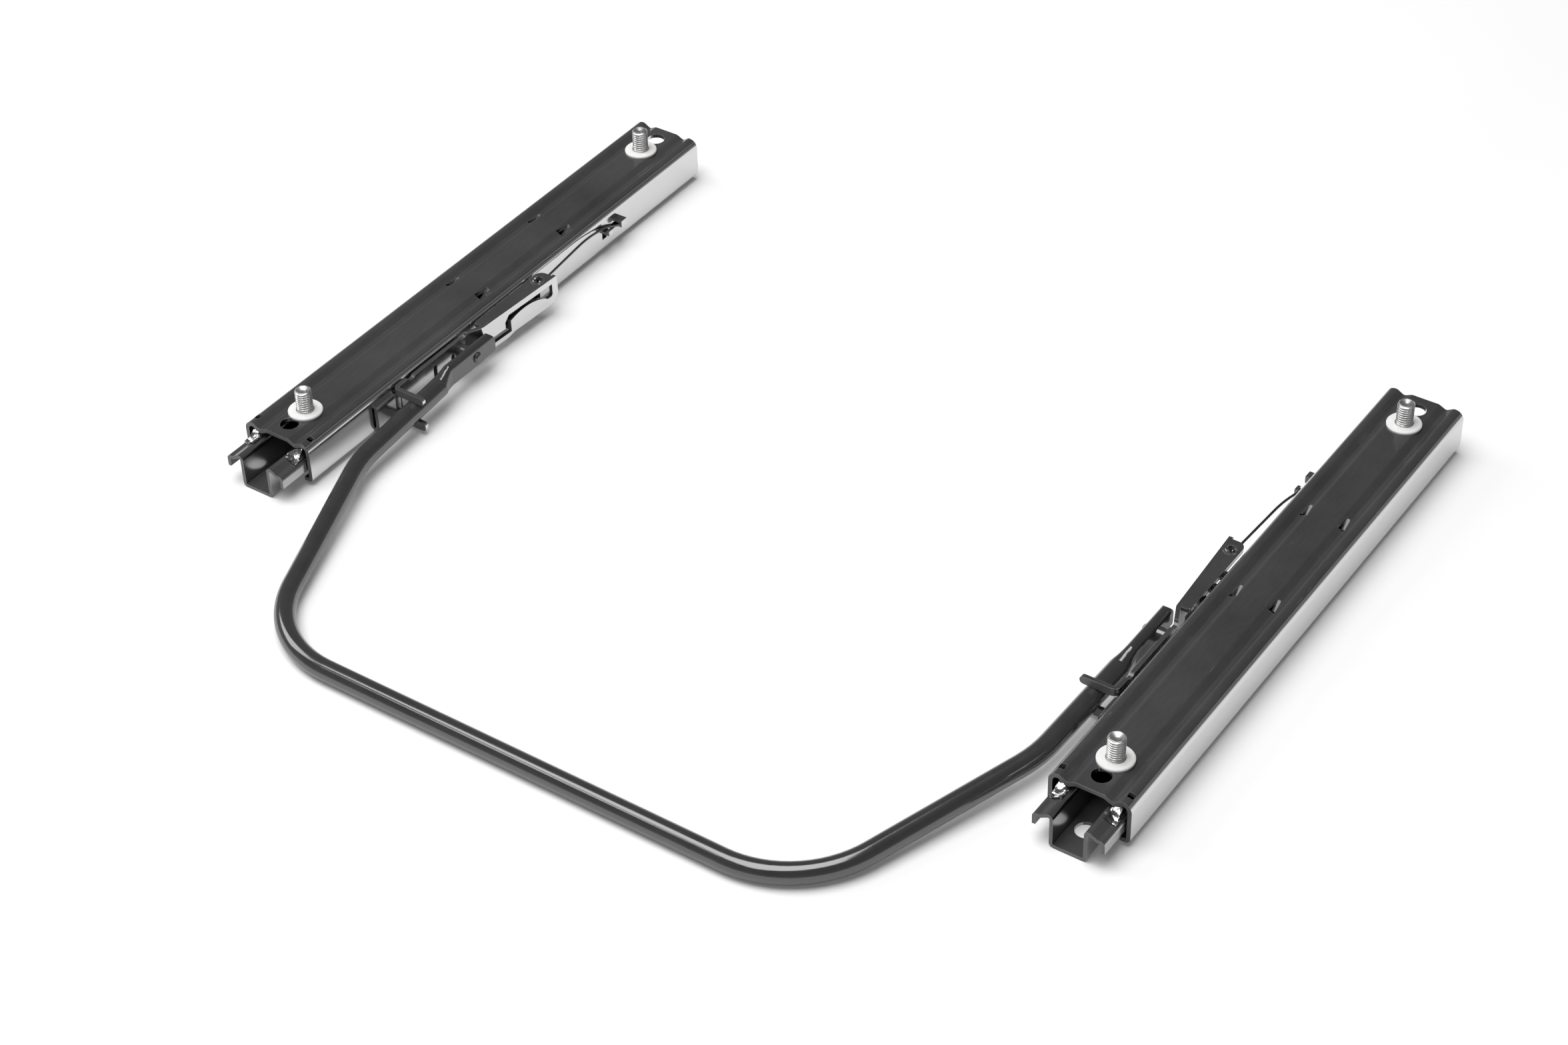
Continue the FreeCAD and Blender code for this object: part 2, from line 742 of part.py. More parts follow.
def curved_window():
    """The arched window in the rear web, with the slot that runs forward from its foot."""
    front = seat_front + window_front
    neck = front + window_neck
    rear = seat_front + window_rear
    foot = seat_front + foot_slot_start
    x = -side_reach
    arch_end = vec(x, rear - window_ramp, window_low_rear + window_corner)
    arch_middle = vec(x, (neck + rear) / 2, window_low_middle)
    arch = Part.Arc(vec(x, neck, window_low_front), arch_middle, arch_end).toShape()
    pairs = [(rear - window_ramp + window_corner, window_low_rear), (rear - window_corner, window_low_rear),
             (rear, window_low_rear + window_corner), (rear, window_top),
             (front + window_shoulder, window_top),
             (front, window_top - window_shoulder), (front, foot_slot_high), (foot, foot_slot_high),
             (foot, foot_slot_low), (neck, foot_slot_low)]
    points = [arch_end] + [vec(x, y, z) for y, z in pairs] + [vec(x, neck, window_low_front)]
    edges = [arch] + [Part.LineSegment(a, b).toShape() for a, b in zip(points, points[1:])]
    return Part.Face(Part.Wire(Part.__sortEdges__(edges))).extrude(vec(side_reach, 0, 0))


def web_slits():
    """Two upright slits with round ends in the front web."""
    cuts = []
    half = slit_width / 2
    for along, low, high in slits:
        y = seat_front + along
        ends = [lying(half, -side_reach, 0, y, z) for z in (low + half, high - half)]
        cuts += ends + [block(-side_reach, 0, y - half, y + half, low + half, high - half)]
    return cuts


def rear_web_x(along):
    """The rail-side face of the slanting rear web."""
    lean = latch_taper / (latch_rear - s_bend_end)
    return -latch_inner_x - s_bend_out - (along - s_bend_end) * lean


def top_flange():
    """The flange at the top of the rear web, turned towards the rail, with a rim round its hole."""
    start = seat_front + top_flange_start
    end = seat_front + top_flange_end
    edge = -seat_half - top_flange_gap
    low = latch_top - latch_sheet
    plate = flat_prism([(rear_web_x(top_flange_start) - root_sunk, start), (edge, start), (edge, end),
                        (rear_web_x(top_flange_end) - root_sunk, end)], low, latch_top,
                       [0, top_flange_front_r, top_flange_rear_r, 0])
    x = spring_hole_x()
    y = seat_front + spring_hole_along
    rim = upright(spring_rim_r, x, y, low, latch_top + spring_rim_height)
    return plate.fuse(rim).cut(upright(spring_hole_r, x, y, low - cut_past, latch_top + 2 * cut_past))


def spring_hole_x():
    return -seat_half - top_flange_gap - spring_hole_in


def teeth():
    """Locking teeth bent in from the lower edge of the rear web, towards the floor rail's lip."""
    solids = []
    tip = -(lip_half - floor_sheet - tooth_past_lip)
    half = tooth_width / 2
    wide = half + tooth_root_flare
    for index in range(tooth_count):
        along = front_tooth_along + index * lock_pitch
        y = seat_front + along
        root = rear_web_x(along) - root_sunk
        neck = rear_web_x(along) + tooth_root_length
        solids.append(flat_prism([(root, y - wide), (neck, y - half), (tip, y - half), (tip, y + half),
                                  (neck, y + half), (root, y + wide)], tooth_top - latch_sheet, tooth_top,
                                 [0, tooth_corner_r, tooth_corner_r, tooth_corner_r, tooth_corner_r, 0]))
    return solids


def latch_plate():
    plate = plate_sheet().common(plate_side_outline()).common(fork_tips())
    plate = plate.cut(strip_cuts() + [fork_opening()]).fuse([tongue(), top_flange()] + teeth())
    hole = lying(rivet_r + rivet_gap, -side_reach, 0, seat_front + rivet_along, bar_height_at(rivet_along))
    return plate.cut(web_slits() + [curved_window(), hole]).removeSplitter()


def bar_height_at(along):
    """Height of the release bar's middle line at a distance behind the seat rail's front end."""
    return bar_r + bar_rise * (along - bar_front_along)


def bar_point(x, along):
    return vec(x, seat_front + along, bar_height_at(along))


def leg_x(along):
    return bar_bend_one_x + bar_leg_lean * (along - bar_bend_one_along)


def bar_path():
    """Straight runs and bends of the bar's middle line, from the right flattened end to the left one."""
    right = [bar_point(leg_x(flat_from), flat_from), bar_point(bar_bend_one_x, bar_bend_one_along),
             bar_point(bar_bend_two_x, bar_front_along)]
    left = [vec(-point.x, point.y, point.z) for point in right[::-1]]
    radii = [bar_bend_one_r, bar_bend_two_r]
    return bend_edges(right + left, radii + radii[::-1])


def flat_middle():
    """The middle of the flattened end, in X and Z."""
    along = (flat_full + bar_tip) / 2
    return leg_x(along), bar_height_at(along)


def quartered_circle(middle, across, upward, radius):
    """A circle as four arcs, which start at its lower left and run round by the right."""
    corners = []
    for side, rise in ((-1, -1), (1, -1), (1, 1), (-1, 1)):
        corners.append(((across * side + upward * rise).normalize(), (side, rise)))
    edges = []
    for (start, _), (end, _) in zip(corners, corners[1:] + corners[:1]):
        halfway = (start + end).normalize()
        reach = [middle + direction * radius for direction in (start, halfway, end)]
        edges.append(Part.Arc(*reach).toShape())
    return Part.Wire(edges)


def flattened_end():
    """The right-hand end, pressed from the round into a flat with half-round edges."""
    x, z = flat_middle()
    half_t = flat_thickness / 2
    half_h = flat_height / 2 - half_t
    full = seat_front + flat_full
    tip = seat_front + bar_tip
    start = bar_point(leg_x(flat_from), flat_from)
    ahead = (bar_point(leg_x(flat_full), flat_full) - start).normalize()
    across = ahead.cross(vec(0, 0, 1)).normalize()
    circle = quartered_circle(start, across, across.cross(ahead), bar_r)
    corners = [vec(x + side * half_t, full, z + rise * half_h)
               for side, rise in ((-1, -1), (1, -1), (1, 1), (-1, 1))]
    low_end = vec(x, full, z - half_h - half_t)
    high_end = vec(x, full, z + half_h + half_t)
    section = Part.Wire([Part.Arc(corners[0], low_end, corners[1]).toShape(),
                         Part.LineSegment(corners[1], corners[2]).toShape(),
                         Part.Arc(corners[2], high_end, corners[3]).toShape(),
                         Part.LineSegment(corners[3], corners[0]).toShape()])
    pressed = Part.makeLoft([circle, section], True, True)
    flat = Part.Face(section).extrude(vec(0, tip - full, 0))
    low = z - flat_height / 2 - cut_past
    high = z + flat_height / 2 + cut_past
    outline = side_prism([(full - cut_past, low), (tip, low), (tip, high), (full - cut_past, high)],
                         x - flat_height, x + flat_height,
                         [0, flat_tip_r + cut_past, flat_tip_r + cut_past, 0])
    hole = lying(rivet_r + rivet_gap, x - flat_height, x + flat_height,
                 seat_front + rivet_along, bar_height_at(rivet_along))
    return pressed.fuse(flat.common(outline)).cut(hole)


def release_bar():
    path = bar_path()
    tube = round_rod(path, bar_r).cut(round_rod(path, bar_r - bar_wall))
    end = flattened_end()
    return tube.fuse([end, on_left(end)]).removeSplitter()


def rivet():
    """The shouldered rivet of the right-hand side, in the whole set's frame."""
    x = flat_middle()[0]
    y = seat_front + rivet_along
    z = bar_height_at(rivet_along)
    inner_face = x - flat_thickness / 2
    outer_face = x + flat_thickness / 2
    web_in = rail_x - latch_inner_x
    web_out = web_in - latch_sheet
    head = lying(rivet_head_r, inner_face - rivet_head_height, inner_face, y, z)
    rim = [edge for edge in head.Edges if edge.BoundBox.XMax < inner_face - rivet_edge]
    head = head.makeChamfer(rivet_edge, rim)
    shank = lying(rivet_r, inner_face - root_sunk, web_in + rivet_tail, y, z)
    collar = lying(collar_r, outer_face, web_out, y, z)
    return head.fuse([shank, collar]).removeSplitter()


def wire_start_height():
    return latch_top - latch_sheet - wire_under_flange - wire_r


def wire_turn_sag():
    """How far the wire's low bend lies under the corner that it rounds off."""
    crest_height = wire_start_height() + wire_crest_rise
    before = math.atan2(crest_height - wire_turn_height, wire_crest_lead)
    after = math.atan2(wire_turn_height - wire_end_height, wire_tail)
    return wire_low_bend_r * (1 / math.cos((after - before) / 2) - 1)


def return_wire():
    """A spring wire from the hole in the latch plate's flange, over the shelf and down under the hook."""
    hole_y = seat_front + spring_hole_along
    at_wall = -seat_half - wire_r - wire_seat_gap
    crest_height = wire_start_height() + wire_crest_rise
    points = [vec(spring_hole_x(), hole_y, latch_top + wire_above_flange),
              vec(spring_hole_x(), hole_y, wire_start_height()),
              vec(-seat_half - wire_crest_out, wire_turn_y - wire_crest_lead, crest_height),
              vec(at_wall, wire_turn_y, wire_turn_height),
              vec(at_wall, wire_turn_y + wire_tail, wire_end_height)]
    return round_rod(bend_edges(points, [wire_bend_r, wire_top_bend_r, wire_low_bend_r]), wire_r)


def on_right(shape):
    return shape.translated(vec(rail_x, 0, 0))


def on_left(shape):
    return shape.mirror(vec(0, 0, 0), vec(1, 0, 0))


def both_studs():
    return Part.makeCompound([seat_stud(y) for y in stud_places()])


def both_washers():
    return Part.makeCompound([washer(y) for y in stud_places()])


def both_clips():
    return Part.makeCompound([mouth_clip(side) for side in (-1, 1)])


def rail_pieces():
    """Every piece of one rail, in the rail's own frame; the set's middle is towards -X."""
    pieces = {
        "floor_rail": floor_rail(),
        "seat_rail": seat_rail(),
        "seat_studs": both_studs(),
        "stud_washers": both_washers(),
        "mouth_clips": both_clips(),
        "latch_plate": latch_plate(),
        "return_wire": return_wire(),
        "upper_balls": balls(upper_ball_x, upper_ball_z, upper_ball_d),
        "lower_balls": balls(lower_ball_x, lower_ball_z, lower_ball_d),
    }
    for place, middle in zip(("front", "rear"), cage_middles()):
        for track, side in (("inner", -1), ("outer", 1)):
            for level, x, z, diameter in (("upper", upper_ball_x, upper_ball_z, upper_ball_d),
                                          ("lower", lower_ball_x, lower_ball_z, lower_ball_d)):
                pieces[f"{level}_cage_{place}_{track}"] = cage(side, middle, x, z, diameter)
    return pieces


def main():
    os.makedirs("parts", exist_ok=True)
    nodes = {"release_bar": release_bar(), "bar_rivet_right": rivet(), "bar_rivet_left": on_left(rivet())}
    for name, shape in rail_pieces().items():
        placed = on_right(shape)
        nodes[name + "_right"] = placed
        nodes[name + "_left"] = on_left(placed)
    for name, shape in nodes.items():
        shape.exportStep(f"parts/{name}.step")


main()
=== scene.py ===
import bpy
import bmesh
import json
import math
from mathutils import Matrix, Vector, noise


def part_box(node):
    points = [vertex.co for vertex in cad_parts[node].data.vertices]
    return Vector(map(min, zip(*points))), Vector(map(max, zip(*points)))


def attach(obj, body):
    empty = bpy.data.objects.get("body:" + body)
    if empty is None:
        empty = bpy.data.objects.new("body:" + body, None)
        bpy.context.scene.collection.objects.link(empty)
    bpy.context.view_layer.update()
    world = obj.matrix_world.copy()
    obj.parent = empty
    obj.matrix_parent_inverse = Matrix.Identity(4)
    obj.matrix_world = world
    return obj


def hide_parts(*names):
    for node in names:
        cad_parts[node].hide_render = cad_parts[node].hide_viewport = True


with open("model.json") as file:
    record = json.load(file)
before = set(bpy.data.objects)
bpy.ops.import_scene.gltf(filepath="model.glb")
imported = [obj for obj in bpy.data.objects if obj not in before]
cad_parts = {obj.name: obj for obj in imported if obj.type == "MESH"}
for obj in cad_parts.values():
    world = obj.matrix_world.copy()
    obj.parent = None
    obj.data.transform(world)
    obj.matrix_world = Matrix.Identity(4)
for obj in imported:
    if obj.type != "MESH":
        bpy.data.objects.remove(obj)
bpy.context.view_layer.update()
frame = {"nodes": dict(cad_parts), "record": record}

# Metres. X runs across the set, Y backwards along the rails, Z up. The floor is at zero.
rail_x = 0.21785

# Threaded studs: an M8 coarse thread above a plain neck, on a head under the rail's roof
stud_places = (-0.11675, 0.14825)
stud_under = 0.02125
stud_neck_top = 0.02465
stud_top = 0.03595
stud_neck_r = 0.0042
stud_r = 0.004
thread_depth = 0.00068
thread_pitch = 0.00125
stud_chamfer = 0.0007
stud_dish_r = 0.0026
stud_dish_depth = 0.0009
stud_head_r = 0.006
stud_head_under_r = 0.0044
stud_head_height = 0.0026
stud_sides = 64

# Balls, and the creases of the mouth clips
upper_ball_diameter = 0.0052
lower_ball_diameter = 0.0044
crease_depth = 0.0004
creases_per_metre = 420.0
crease_longest_edge = 0.0011
same_point = 0.000001

# Camera, as fitted to the photograph
camera_place = (0.6623021, -0.9638774, 0.9281085)
camera_right = (0.8248387, 0.5647790, -0.0258037)
camera_up = (-0.3412098, 0.5336776, 0.7737985)
camera_back = (0.4507960, -0.6294545, 0.6329060)
camera_lens = 73.61


class Value:
    """A shader socket that takes part in sums and products like a number."""

    def __init__(self, board, socket):
        self.board = board
        self.socket = socket

    def math(self, operation, first, second=0.0):
        return self.board.node("ShaderNodeMath", {"operation": operation}, {0: first, 1: second})

    def __add__(self, other):
        return self.math("ADD", self, other)

    def __sub__(self, other):
        return self.math("SUBTRACT", self, other)

    def __rsub__(self, other):
        return self.math("SUBTRACT", other, self)

    def __mul__(self, other):
        return self.math("MULTIPLY", self, other)

    def __pow__(self, other):
        return self.math("POWER", self, other)

    def __abs__(self):
        return self.math("ABSOLUTE", self)

    __radd__ = __add__
    __rmul__ = __mul__

    def clamped(self):
        return self.board.node("ShaderNodeClamp", {}, {"Value": self})


class Board:
    """A node tree to which nodes are added one call at a time."""

    def __init__(self, tree):
        self.tree = tree

    def node(self, kind, settings, inputs, output=0):
        made = self.tree.nodes.new(kind)
        for key, value in settings.items():
            setattr(made, key, value)
        for key, value in inputs.items():
            socket = made.inputs[key]
            if isinstance(value, Value):
                self.tree.links.new(value.socket, socket)
            else:
                socket.default_value = value
        return Value(self, made.outputs[output])


class Finish(Board):
    """A material built from nodes, with one surface shader."""

    def __init__(self, name):
        self.material = bpy.data.materials.new(name)
        self.material.use_nodes = True
        super().__init__(self.material.node_tree)
        self.tree.nodes.clear()
        self.output = self.tree.nodes.new("ShaderNodeOutputMaterial")
        self.place = self.node("ShaderNodeTexCoord", {}, {}, "Object")

    def stretched(self, x, y, z):
        """Object coordinates with each axis scaled on its own, for grain that runs one way."""
        return self.node("ShaderNodeVectorMath", {"operation": "MULTIPLY"}, {0: self.place, 1: (x, y, z)})

    def noise(self, scale, detail=2.0, roughness=0.5, place=None):
        """Soft noise from 0 to 1; the scale is in blobs per metre."""
        return self.node("ShaderNodeTexNoise", {}, {"Vector": place or self.place, "Scale": scale,
                                                    "Detail": detail, "Roughness": roughness}, "Fac")

    def rounded(self, radius):
        """The surface normal with sharp edges rounded over."""
        return self.node("ShaderNodeBevel", {"samples": 6}, {"Radius": radius})

    def edge_share(self, radius, gain):
        """0 on open surface, rising to 1 at sharp edges and corners."""
        normal = self.node("ShaderNodeNewGeometry", {}, {}, "Normal")
        alike = self.node("ShaderNodeVectorMath", {"operation": "DOT_PRODUCT"},
                          {0: self.rounded(radius), 1: normal}, "Value")
        return ((1.0 - alike) * gain).clamped()

    def facing(self, axis, least):
        """1 where the surface faces along an axis of the set, either way, and 0 elsewhere."""
        normal = self.node("ShaderNodeTexCoord", {}, {}, "Normal")
        part = self.node("ShaderNodeSeparateXYZ", {}, {0: normal}, axis)
        return ((abs(part) - least) * 12.0).clamped()

    def mix(self, share, first, second):
        """A colour between two colours."""
        first = first if isinstance(first, Value) else (*first, 1.0)
        second = second if isinstance(second, Value) else (*second, 1.0)
        return self.node("ShaderNodeMix", {"data_type": "RGBA"}, {0: share, 6: first, 7: second}, 2)

    def bump(self, height, distance, strength=1.0, rounded=0.0):
        values = {"Height": height, "Distance": distance, "Strength": strength}
        if rounded:
            values["Normal"] = self.rounded(rounded)
        return self.node("ShaderNodeBump", {}, values)

    def surface(self, **values):
        inputs = {key.replace("_", " "): value for key, value in values.items()}
        shader = self.node("ShaderNodeBsdfPrincipled", {}, inputs)
        self.tree.links.new(shader.socket, self.output.inputs["Surface"])
        return self.material


def lacquered_steel(name, low, high, gloss):
    """Black lacquer on sheet steel; the walls that face across the set are pale metal, a painted reflection
    of the white floor.

    Sheared end faces are dull, edges show brighter metal that is partly wear and partly a painted edge
    highlight, and faint grain and fine scratches run along.
    """
    finish = Finish(name)
    grain = finish.noise(1400.0, 3.0, 0.6, finish.stretched(1.0, 0.12, 1.0))
    cloud = finish.noise(24.0, 2.0, 0.5)
    scratch = (finish.noise(520.0, 4.0, 0.75, finish.stretched(1.0, 0.05, 1.0)) * 9.0 - 6.1).clamped()
    sheared = finish.facing("Y", 0.8)
    # Walls facing across the set get pale metal, a painted reflection of the white floor on the black
    # lacquer
    wall_painted_reflection = finish.facing("X", 0.62)
    # Bright metal at sharp edges, broken by noise: partly wear and partly a painted edge highlight
    wear_and_edge_highlight = finish.edge_share(0.00035, 1.6) * (finish.noise(500.0, 3.0, 0.7) * 3.2 - 1.0).clamped()
    # Pale metal of those walls, painted reflection of the white floor
    steel = finish.mix((grain * 0.3 + cloud * 0.7).clamped(), (low, low, low), (high, high, high))
    # Lighter cloudy patches in the black lacquer are a painted sheen
    sheen = (grain * 0.5 + cloud * 1.1 - 0.3).clamped()
    lacquer = finish.mix(sheen, (0.034, 0.034, 0.035), (0.074, 0.074, 0.076))
    colour = finish.mix(wall_painted_reflection, lacquer, steel)
    colour = finish.mix(sheared * 0.85, colour, (0.1, 0.1, 0.1))
    colour = finish.mix((wear_and_edge_highlight * 0.8 + scratch * 0.25).clamped(), colour, (0.62, 0.62, 0.62))
    roughness = grain * 0.04 + cloud * 0.05 + sheared * 0.2 + scratch * 0.1 + gloss
    return finish.surface(Base_Color=colour, Metallic=wall_painted_reflection, Roughness=roughness, IOR=1.6,
                          Normal=finish.bump(grain, 0.000004, 0.3, 0.0003))


def glossy_bar():
    """Glossy black lacquer of the bent release bar and its rivets, with a fine orange-peel surface."""
    finish = Finish("glossy_bar")
    cloud = finish.noise(90.0, 3.0, 0.55)
    drawn = finish.noise(1600.0, 2.0, 0.6)
    # Paler edges, broken by noise: partly wear and partly a painted edge highlight
    wear_and_edge_highlight = finish.edge_share(0.0003, 1.6) * (cloud * 2.4 - 0.7).clamped()
    colour = finish.mix(cloud, (0.03, 0.03, 0.031), (0.048, 0.048, 0.05))
    colour = finish.mix(wear_and_edge_highlight * 0.6, colour, (0.5, 0.5, 0.5))
    return finish.surface(Base_Color=colour, Roughness=cloud * 0.08 + 0.1, IOR=1.9,
                          Normal=finish.bump(drawn, 0.000005, 0.3, 0.0003))


def zinc_steel():
    """Dull zinc on the threaded studs, slightly cloudy."""
    finish = Finish("stud_steel")
    cloud = finish.noise(700.0, 3.0, 0.6)
    colour = finish.mix(cloud, (0.5, 0.5, 0.495), (0.76, 0.76, 0.75))
    return finish.surface(Base_Color=colour, Metallic=1.0, Roughness=cloud * 0.22 + 0.26,
                          Normal=finish.bump(cloud, 0.00002, 0.4, 0.0002))


def white_nylon():
    """Milky nylon of the stud washers."""
    finish = Finish("washer_plastic")
    cloud = finish.noise(400.0, 2.0)
    colour = finish.mix(cloud, (0.8, 0.8, 0.79), (0.9, 0.9, 0.89))
    return finish.surface(Base_Color=colour, Roughness=cloud * 0.15 + 0.32, Subsurface_Weight=0.15,
                          Subsurface_Scale=0.001, Normal=finish.bump(cloud, 0.00003, 0.3, 0.0003))


def bright_clip():
    """Bright, creased sheet of the mouth clips, with painted shade in the dents of its fine bump and painted
    highlight on its crests.
    """
    finish = Finish("clip_steel")
    crease_and_painted_shade = finish.noise(420.0, 2.0, 0.7)
    # Colour follows the bump height: darker in the dents as painted shade, lighter on the crests as painted
    # highlight
    colour = finish.mix(crease_and_painted_shade, (0.36, 0.36, 0.36), (0.8, 0.8, 0.8))
    return finish.surface(Base_Color=colour, Metallic=1.0, Roughness=crease_and_painted_shade * 0.2 + 0.1,
                          Normal=finish.bump(crease_and_painted_shade, 0.0002, 0.5))


def ball_steel():
    """Polished bearing balls under a thin film of grease."""
    finish = Finish("ball_steel")
    film = finish.noise(500.0, 2.0)
    colour = finish.mix(film, (0.62, 0.62, 0.62), (0.8, 0.8, 0.8))
    return finish.surface(Base_Color=colour, Metallic=1.0, Roughness=film * 0.16 + 0.06)


def cage_steel():
    """Plain pressed sheet of the ball cages."""
    finish = Finish("cage_steel")
    grain = finish.noise(800.0, 3.0, 0.6, finish.stretched(1.0, 0.2, 1.0))
    colour = finish.mix(grain, (0.34, 0.34, 0.34), (0.5, 0.5, 0.5))
    return finish.surface(Base_Color=colour, Metallic=1.0, Roughness=grain * 0.2 + 0.28,
                          Normal=finish.bump(grain, 0.00003, 0.4))


def black_wire():
    """Dark drawn spring wire."""
    finish = Finish("black_wire")
    grain = finish.noise(1500.0, 2.0, 0.6, finish.stretched(1.0, 0.1, 1.0))
    colour = finish.mix(grain, (0.1, 0.1, 0.1), (0.2, 0.2, 0.2))
    return finish.surface(Base_Color=colour, Metallic=1.0, Roughness=grain * 0.15 + 0.25,
                          Normal=finish.bump(grain, 0.00002, 0.3))


def floor_finish():
    """White studio floor: the camera and reflections see it a little brighter, and it keeps its shadows."""
    finish = Finish("studio_floor")
    cloud = finish.noise(6.0, 2.0)
    colour = finish.mix(cloud, (0.86, 0.86, 0.86), (0.9, 0.9, 0.9))
    diffuse = finish.node("ShaderNodeBsdfDiffuse", {}, {"Color": colour})
    glow = finish.node("ShaderNodeEmission", {}, {"Color": (1.0, 1.0, 1.0, 1.0), "Strength": 0.1})
    rays = finish.tree.nodes.new("ShaderNodeLightPath")
    seen = Value(finish, rays.outputs["Is Camera Ray"]) + Value(finish, rays.outputs["Is Glossy Ray"])
    seen = (seen + Value(finish, rays.outputs["Is Transmission Ray"])).clamped()
    dark = finish.node("ShaderNodeEmission", {}, {"Strength": 0.0})
    glow = finish.node("ShaderNodeMixShader", {}, {0: seen, 1: dark, 2: glow})
    both = finish.node("ShaderNodeAddShader", {}, {0: diffuse, 1: glow})
    finish.tree.links.new(both.socket, finish.output.inputs["Surface"])
    return finish.material


def new_object(name, mesh):
    made = bpy.data.objects.new(name, mesh)
    bpy.context.scene.collection.objects.link(made)
    return made


def studio_floor():
    mesh = bpy.data.meshes.new("studio_floor")
    bm = bmesh.new()
    bmesh.ops.create_grid(bm, x_segments=8, y_segments=8, size=3.4)
    bm.to_mesh(mesh)
    bm.free()
    floor = new_object("studio_floor", mesh)
    mesh.materials.append(floor_finish())


def soft_light(name, place, aim, size, power):
    data = bpy.data.lights.new(name, "AREA")
    data.shape = "RECTANGLE"
    data.size, data.size_y = size
    data.energy = power
    light = bpy.data.objects.new(name, data)
    light.location = place
    light.rotation_euler = (Vector(aim) - Vector(place)).to_track_quat("-Z", "Y").to_euler()
    bpy.context.scene.collection.objects.link(light)


def studio():
    studio_floor()
    soft_light("overhead_light", (-0.35, -0.4, 3.0), (0.0, 0.0, 0.0), (2.6, 2.6), 104.0)
    soft_light("streak_light", (-1.85, -1.75, 3.0), (0.0, -0.2, 0.0), (0.6, 0.5), 4.5)
    soft_light("side_light", (-1.7, -0.3, 1.3), (0.0, 0.0, 0.0), (0.9, 0.9), 10.0)
    world = bpy.data.worlds.new("studio_world")
    world.use_nodes = True
    board = Board(world.node_tree)
    way = board.node("ShaderNodeTexCoord", {}, {}, "Generated")
    height = board.node("ShaderNodeSeparateXYZ", {}, {0: way}, "Z")
    background = world.node_tree.nodes["Background"]
    background.inputs["Color"].default_value = (1.0, 1.0, 1.0, 1.0)
    horizon = (1.0 - height).clamped() ** 3.0
    board.tree.links.new((horizon * 0.25 + 0.055).socket, background.inputs["Strength"])
    bpy.context.scene.world = world
    bpy.context.scene.view_settings.view_transform = "Standard"


def photo_camera():
    data = bpy.data.cameras.new("photo_camera")
    data.sensor_width = 36.0
    data.sensor_fit = "HORIZONTAL"
    data.lens = camera_lens
    data.clip_end = 30.0
    camera = bpy.data.objects.new("photo_camera", data)
    turn = Matrix((camera_right, camera_up, camera_back)).transposed().to_4x4()
    camera.matrix_world = Matrix.Translation(camera_place) @ turn
    bpy.context.scene.collection.objects.link(camera)
    bpy.context.scene.camera = camera


def ring_surface(bm, rings):
    """Joins closed rings of points with quads, one after another."""
    made = [[bm.verts.new(point) for point in ring] for ring in rings]
    for low, high in zip(made, made[1:]):
        for place in range(len(low)):
            bm.faces.new((low[place - 1], low[place], high[place], high[place - 1]))
    return made


def thread_radius(height, turn):
    """Radius of the threaded shank at a height above its foot and a turn from 0 to 1."""
    length = stud_top - stud_neck_top
    phase = (height / thread_pitch - turn) % 1.0
    ridge = min(1.0, max(0.0, 1.45 - abs(phase - 0.5) * 3.6))
    fade = min(1.0, height / thread_pitch)
    radius = stud_r - thread_depth * (1.0 - ridge) * fade
    return min(radius, stud_r - stud_chamfer + (length - height))


def stud_mesh():
    """One seat stud, built upward from its head: cone head, plain neck, thread, chamfer and dished top."""
    bm = bmesh.new()
    turns = [place / stud_sides for place in range(stud_sides)]

    def ring(height, radius_at):
        return [(radius_at(turn) * math.cos(2 * math.pi * turn),
                 radius_at(turn) * math.sin(2 * math.pi * turn), height) for turn in turns]

    head_low = stud_under - stud_head_height
    rings = [ring(head_low, lambda turn: stud_head_under_r), ring(stud_under, lambda turn: stud_head_r),
             ring(stud_under, lambda turn: stud_neck_r), ring(stud_neck_top, lambda turn: stud_neck_r)]
    steps = round((stud_top - stud_neck_top) / thread_pitch * 10)
    for step in range(steps + 1):
        height = (stud_top - stud_neck_top) * step / steps
        rings.append(ring(stud_neck_top + height, lambda turn: thread_radius(height, turn)))
    rings.append(ring(stud_top, lambda turn: stud_dish_r))
    rings.append(ring(stud_top - stud_dish_depth, lambda turn: stud_dish_r * 0.45))
    made = ring_surface(bm, rings)
    bm.faces.new(made[0][::-1])
    bm.faces.new(made[-1])
    bmesh.ops.recalc_face_normals(bm, faces=bm.faces)
    return bm


def joined_copies(name, bm, places):
    """One object from copies of a mesh at several places."""
    source = bpy.data.meshes.new(name)
    bm.to_mesh(source)
    bm.free()
    whole = bmesh.new()
    for place in places:
        start = len(whole.verts)
        whole.from_mesh(source)
        whole.verts.ensure_lookup_table()
        bmesh.ops.translate(whole, verts=whole.verts[start:], vec=place)
    whole.to_mesh(source)
    whole.free()
    return new_object(name, source)


def smooth_by_angle(piece, degrees):
    """Smooth shading, with edges kept sharp where faces meet at more than an angle."""
    mesh = piece.data
    bm = bmesh.new()
    bm.from_mesh(mesh)
    for face in bm.faces:
        face.smooth = True
    for edge in bm.edges:
        edge.smooth = len(edge.link_faces) == 2 and edge.calc_face_angle() < math.radians(degrees)
    bm.to_mesh(mesh)
    bm.free()


def threaded_studs(side, name, finish):
    places = [(side * rail_x, y, 0.0) for y in stud_places]
    piece = joined_copies("threaded_studs_" + name, stud_mesh(), places)
    smooth_by_angle(piece, 40.0)
    piece.data.materials.append(finish)
    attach(piece, "seat_rails")
    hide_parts("seat_studs_" + name)


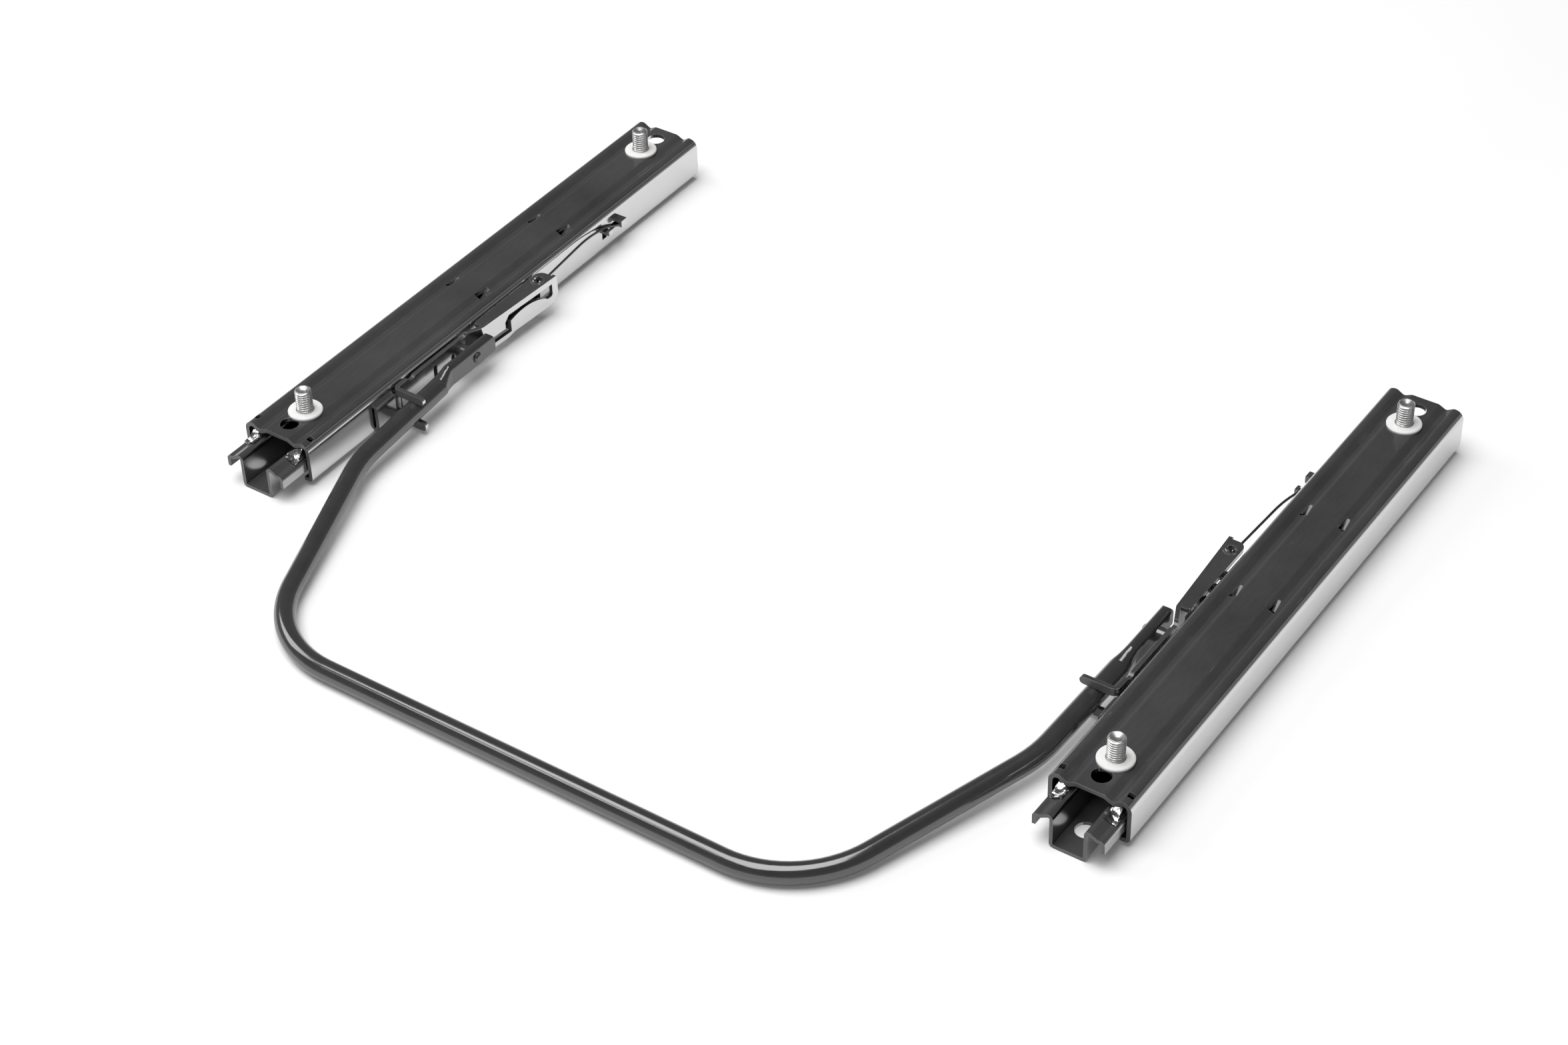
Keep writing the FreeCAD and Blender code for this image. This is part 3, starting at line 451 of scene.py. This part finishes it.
def islands(mesh):
    """Lowest and highest corner of each separate body of a mesh."""
    bm = bmesh.new()
    bm.from_mesh(mesh)
    bmesh.ops.remove_doubles(bm, verts=bm.verts, dist=same_point)
    left = set(bm.verts)
    boxes = []
    while left:
        found = [left.pop()]
        for vert in found:
            for edge in vert.link_edges:
                other = edge.other_vert(vert)
                if other in left:
                    left.remove(other)
                    found.append(other)
        corners = [vert.co.copy() for vert in found]
        boxes.append((Vector(map(min, zip(*corners))), Vector(map(max, zip(*corners)))))
    bm.free()
    return boxes


def round_balls(level, diameter, name, finish):
    """Smooth balls in the places of one node's faceted ones."""
    node = level + "_balls_" + name
    centres = [(low + high) / 2 for low, high in islands(frame["nodes"][node].data)]
    bm = bmesh.new()
    bmesh.ops.create_icosphere(bm, subdivisions=3, radius=diameter / 2)
    piece = joined_copies(level + "_round_balls_" + name, bm, centres)
    smooth_by_angle(piece, 60.0)
    piece.data.materials.append(finish)
    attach(piece, "ball_cages")
    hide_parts(node)


def creased_clips(name, finish):
    """The mouth clips as pinched, creased sheet: the node's mesh, divided and dented."""
    node = "mouth_clips_" + name
    bm = bmesh.new()
    bm.from_mesh(frame["nodes"][node].data)
    bmesh.ops.remove_doubles(bm, verts=bm.verts, dist=same_point)
    bmesh.ops.triangulate(bm, faces=bm.faces)
    for _ in range(6):
        long_edges = [edge for edge in bm.edges if edge.calc_length() > crease_longest_edge]
        if not long_edges:
            break
        bmesh.ops.subdivide_edges(bm, edges=long_edges, cuts=1)
        bmesh.ops.triangulate(bm, faces=bm.faces)
    bm.normal_update()
    low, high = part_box(node)
    for vert in bm.verts:
        dent = (noise.noise(vert.co * creases_per_metre) - 0.5) * crease_depth
        moved = vert.co + vert.normal * dent
        vert.co = [min(max(value, least), most) for value, least, most in zip(moved, low, high)]
    mesh = bpy.data.meshes.new("creased_clips_" + name)
    bm.to_mesh(mesh)
    bm.free()
    mesh.materials.clear()
    mesh.materials.append(finish)
    piece = new_object("creased_clips_" + name, mesh)
    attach(piece, "seat_rails")
    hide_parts(node)


def dress_nodes():
    """Gives each node its slot's finish, the bar and floor rails their own, and adds the finer pieces."""
    # The two numbers after a lacquered finish's name are its pale wall metal, a painted reflection of the
    # white floor
    finishes = {"black_steel": lacquered_steel("black_steel", 0.6, 0.68, 0.13), "stud_steel": zinc_steel(),
                "washer_plastic": white_nylon(), "clip_steel": bright_clip(), "ball_steel": ball_steel(),
                "cage_steel": cage_steel(), "black_wire": black_wire()}
    slots = {part["node"]: part["material_slot"] for part in frame["record"]["subparts"]}
    finishes["glossy_bar"] = glossy_bar()
    # Darker pale wall metal for the floor rails, also a painted reflection of the white floor
    finishes["floor_rail_steel"] = lacquered_steel("floor_rail_steel", 0.34, 0.44, 0.16)
    for name, piece in frame["nodes"].items():
        finish = finishes[slots[name]]
        if name.startswith(("release_bar", "bar_rivet")):
            finish = finishes["glossy_bar"]
        if name.startswith("floor_rail"):
            finish = finishes["floor_rail_steel"]
        for index in range(len(piece.material_slots)):
            piece.material_slots[index].material = finish
    for side, name in ((-1, "left"), (1, "right")):
        threaded_studs(side, name, finishes["stud_steel"])
        round_balls("upper", upper_ball_diameter, name, finishes["ball_steel"])
        round_balls("lower", lower_ball_diameter, name, finishes["ball_steel"])
        creased_clips(name, finishes["clip_steel"])


photo_camera()
studio()
dress_nodes()
